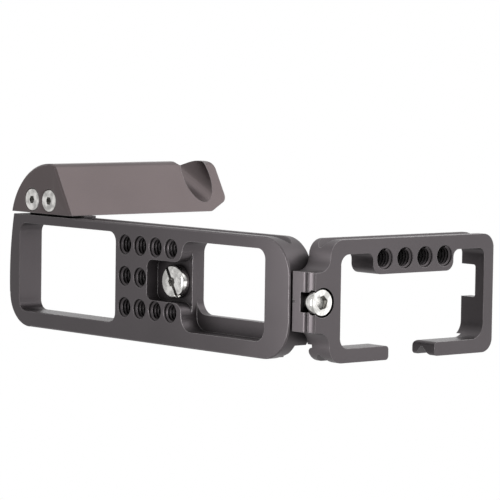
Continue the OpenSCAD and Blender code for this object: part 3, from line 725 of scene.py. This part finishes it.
class BRACKET_OT_hole_threads(bpy.types.Operator):
    """Wind the threads in the tapped holes of both plates"""

    bl_idname = "bracket.hole_threads"
    bl_label = "Threads of the tapped holes"

    def execute(self, context):
        sizes = context.scene.bracket_screws
        pitch = sizes.camera_pitch
        root = sizes.camera_thread_r + 0.04 * MM
        tip = sizes.camera_thread_r - 0.6 * MM
        foot = THREAD_FOOT * pitch
        bottom = node_box("base_plate")[0].z
        outer = node_box("side_plate")[1].x
        depth = -bottom - 2 * HOLE_LEAD
        master = ridge("base_hole_threads", root, tip, pitch, (depth - 2 * foot) / pitch)
        master.location.z = bottom + HOLE_LEAD + foot
        settle(master)
        copies = []
        for name in ("left_holes", "right_holes", "middle_holes"):
            middle = Vector(mounts[name]["pos_m"])
            across = mounts[name]["dims"]["spacing_x_mm"] * MM / 2
            along = mounts[name]["dims"].get("spacing_y_mm", 0.0) * MM / 2
            for x in (middle.x - across, middle.x + across):
                for y in sorted({middle.y - along, middle.y + along}):
                    copies.append(self.copy_to(master, (x, y, 0.0), (0, 0, 0)))
        bpy.data.objects.remove(master)
        base = join(copies, "base_hole_threads")
        inner = outer - sizes.bar_t
        depth = sizes.bar_t - 2 * HOLE_LEAD
        master = ridge("side_hole_threads", root, tip, pitch, (depth - 2 * foot) / pitch)
        copies = []
        for name in ("side_holes_low", "side_holes_high"):
            middle = Vector(mounts[name]["pos_m"])
            step = mounts[name]["dims"]["spacing_y_mm"] * MM / 2
            for z in (middle.z - step, middle.z + step):
                copies.append(self.copy_to(master, (inner + HOLE_LEAD + foot, middle.y, z),
                                           (0, math.pi / 2, 0)))
        bpy.data.objects.remove(master)
        side = join(copies, "side_hole_threads")
        finish = context.scene.bracket_finish
        # The cut threads get painted shade down to 0.06 deep in the threads, and the painted edge
        # highlight.
        cut_metal = anodised("tapped thread", tuple(finish.plate_colour), tuple(finish.worn_and_highlight_colour),
                             finish.plate_rough - 0.08, 0.85, finish.grain_depth, 0.06)
        for piece, body in ((base, "base"), (side, "side")):
            only(piece)
            bpy.ops.object.shade_smooth_by_angle(angle=SMOOTH)
            give(piece, cut_metal)
            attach(piece, body)
        return {"FINISHED"}

    def copy_to(self, master, place, turn):
        """Copies a ridge, with its own mesh, to a hole."""
        only(master)
        bpy.ops.object.duplicate(linked=False)
        copy = bpy.context.object
        copy.location = place
        copy.rotation_euler = turn
        settle(copy)
        return copy


class BRACKET_OT_studio(bpy.types.Operator):
    """Set up the camera, the soft lamps, the pale floor and the white surroundings"""

    bl_idname = "bracket.studio"
    bl_label = "Studio"

    def execute(self, context):
        studio = context.scene.bracket_studio
        self.camera(context, studio)
        self.lamps(studio)
        self.floor(studio)
        self.world(context, studio)
        context.scene.view_settings.view_transform = "Standard"
        return {"FINISHED"}

    def camera(self, context, studio):
        """Places the camera at the photograph's angle."""
        start_clean()
        bpy.ops.object.camera_add(location=tuple(studio.camera_place))
        camera = bpy.context.object
        camera.name = "studio_camera"
        camera.matrix_world = Matrix.Translation(Vector(studio.camera_place)) @ CAMERA_AXES.to_4x4()
        camera.data.sensor_width = 36.0
        camera.data.lens = studio.lens
        camera.data.clip_start = 0.01
        camera.data.clip_end = 50.0
        context.scene.camera = camera

    def lamps(self, studio):
        """Hangs soft lamps round the bracket."""
        middle = (Vector(cad_box[0]) + Vector(cad_box[1])) / 2
        rig = [
            ("slope", (0.446, -0.617, 0.649), 0.8),
            ("side", (0.757, 0.07, 0.649), 0.44),
            ("scoop", (-0.32, -0.90, -0.05), 0.6),
            ("nose", (-0.757, -0.07, 0.649), 0.2),
            ("front", (-0.20, -0.75, 0.75), 0.17),
            ("end", (1.0, 0.0, 0.0), 0.13),
            ("top", (0.0, 0.0, 1.0), 0.95),
            ("corner", (0.7, -0.7, 0.0), 0.7),
        ]
        for name, way, share in rig:
            away = Vector(way).normalized()
            self.lamp(name, middle + away * LAMP_REACH, away, studio.lamp_power * share, 0.9)
        self.lamp("low", LOW_LAMP_PLACE, Vector((0.0, 0.0, -1.0)),
                  studio.lamp_power * LOW_LAMP_SHARE, 0.05)

    def lamp(self, name, place, away, power, size):
        """Hangs one square lamp that shines back against the way it was moved."""
        start_clean()
        bpy.ops.object.light_add(type="AREA", location=place)
        lamp = bpy.context.object
        lamp.name = "lamp_" + name
        lamp.rotation_euler = away.to_track_quat("Z", "Y").to_euler()
        lamp.data.energy = power
        lamp.data.size = size

    def floor(self, studio):
        """Lays a floor that shows only from above, takes the shadow and pales to white far off."""
        start_clean()
        low = cad_box[0][2] - FLOOR_GAP
        bpy.ops.mesh.primitive_plane_add(size=16.0, location=(0, 0, low))
        floor = bpy.context.object
        floor.name = "studio_floor"
        settle(floor)
        for ray in ("visible_diffuse", "visible_glossy", "visible_transmission", "visible_shadow"):
            setattr(floor, ray, False)
        material = bpy.data.materials.new("studio floor")
        material.use_nodes = True
        tree = material.node_tree
        tree.nodes.remove(tree.nodes["Principled BSDF"])
        paper = add_node(tree, "ShaderNodeBsdfDiffuse")
        paper.inputs["Color"].default_value = (*studio.floor_colour, 1.0)
        lift = add_node(tree, "ShaderNodeEmission")
        lift.inputs["Color"].default_value = (1, 1, 1, 1)
        rays = add_node(tree, "ShaderNodeLightPath")
        place = add_node(tree, "ShaderNodeTexCoord").outputs["Object"]
        length = add_node(tree, "ShaderNodeVectorMath", operation="LENGTH")
        tree.links.new(place, length.inputs[0])
        glow = spread(tree, length.outputs["Value"], 0.2, 1.2, 0.34, 1.0)
        seen = calculate(tree, "MULTIPLY", rays.outputs["Is Camera Ray"], glow)
        tree.links.new(seen, lift.inputs["Strength"])
        both = add_node(tree, "ShaderNodeAddShader")
        tree.links.new(paper.outputs[0], both.inputs[0])
        tree.links.new(lift.outputs[0], both.inputs[1])
        clear = add_node(tree, "ShaderNodeBsdfTransparent")
        side = add_node(tree, "ShaderNodeNewGeometry")
        choose = add_node(tree, "ShaderNodeMixShader")
        tree.links.new(side.outputs["Backfacing"], choose.inputs[0])
        tree.links.new(both.outputs[0], choose.inputs[1])
        tree.links.new(clear.outputs[0], choose.inputs[2])
        tree.links.new(choose.outputs[0], tree.nodes["Material Output"].inputs["Surface"])
        give(floor, material)

    def world(self, context, studio):
        """White where the camera and gloss look, plain light for everything else."""
        world = bpy.data.worlds.new("studio world")
        context.scene.world = world
        world.use_nodes = True
        tree = world.node_tree
        rays = add_node(tree, "ShaderNodeLightPath")
        seen = calculate(tree, "MAXIMUM",
                         rays.outputs["Is Camera Ray"], rays.outputs["Is Glossy Ray"])
        seen = calculate(tree, "MAXIMUM", seen, rays.outputs["Is Transmission Ray"])
        strength = spread(tree, seen, 0.0, 1.0, studio.ambient, 1.0)
        backdrop = tree.nodes["Background"]
        backdrop.inputs["Color"].default_value = (1, 1, 1, 1)
        tree.links.new(strength, backdrop.inputs["Strength"])


class BRACKET_PT_panel(bpy.types.Panel):
    """Panel of the bracket's pieces and sizes"""

    bl_label = "Camera L-bracket"
    bl_idname = "BRACKET_PT_panel"
    bl_space_type = "VIEW_3D"
    bl_region_type = "UI"
    bl_category = "Bracket"

    def draw(self, context):
        layout = self.layout
        for label, group in (("Finish", context.scene.bracket_finish),
                             ("Grip", context.scene.bracket_grip),
                             ("Screws", context.scene.bracket_screws),
                             ("Studio", context.scene.bracket_studio)):
            box = layout.box()
            box.label(text=label)
            for key in group.__annotations__:
                box.prop(group, key)
        for operator in OPERATORS:
            layout.operator(operator.bl_idname)


GROUPS = (("bracket_finish", BracketFinish), ("bracket_grip", BracketGrip),
          ("bracket_screws", BracketScrews), ("bracket_studio", BracketStudio))
OPERATORS = (BRACKET_OT_plates, BRACKET_OT_grip, BRACKET_OT_small_parts, BRACKET_OT_grip_screws,
             BRACKET_OT_camera_screw, BRACKET_OT_lock_screw, BRACKET_OT_hole_threads,
             BRACKET_OT_studio)


def register():
    """Registers the groups, the operators and the panel."""
    for name, group in GROUPS:
        bpy.utils.register_class(group)
        setattr(bpy.types.Scene, name, bpy.props.PointerProperty(type=group))
    for operator in OPERATORS:
        bpy.utils.register_class(operator)
    bpy.utils.register_class(BRACKET_PT_panel)


def unregister():
    """Removes the panel, the operators and the groups."""
    bpy.utils.unregister_class(BRACKET_PT_panel)
    for operator in reversed(OPERATORS):
        bpy.utils.unregister_class(operator)
    for name, group in reversed(GROUPS):
        delattr(bpy.types.Scene, name)
        bpy.utils.unregister_class(group)


def main():
    """Builds everything in order."""
    register()
    bpy.ops.bracket.plates()
    bpy.ops.bracket.grip()
    bpy.ops.bracket.small_parts()
    bpy.ops.bracket.grip_screws()
    bpy.ops.bracket.camera_screw()
    bpy.ops.bracket.lock_screw()
    bpy.ops.bracket.hole_threads()
    bpy.ops.bracket.studio()


if __name__ == "__main__":
    main()
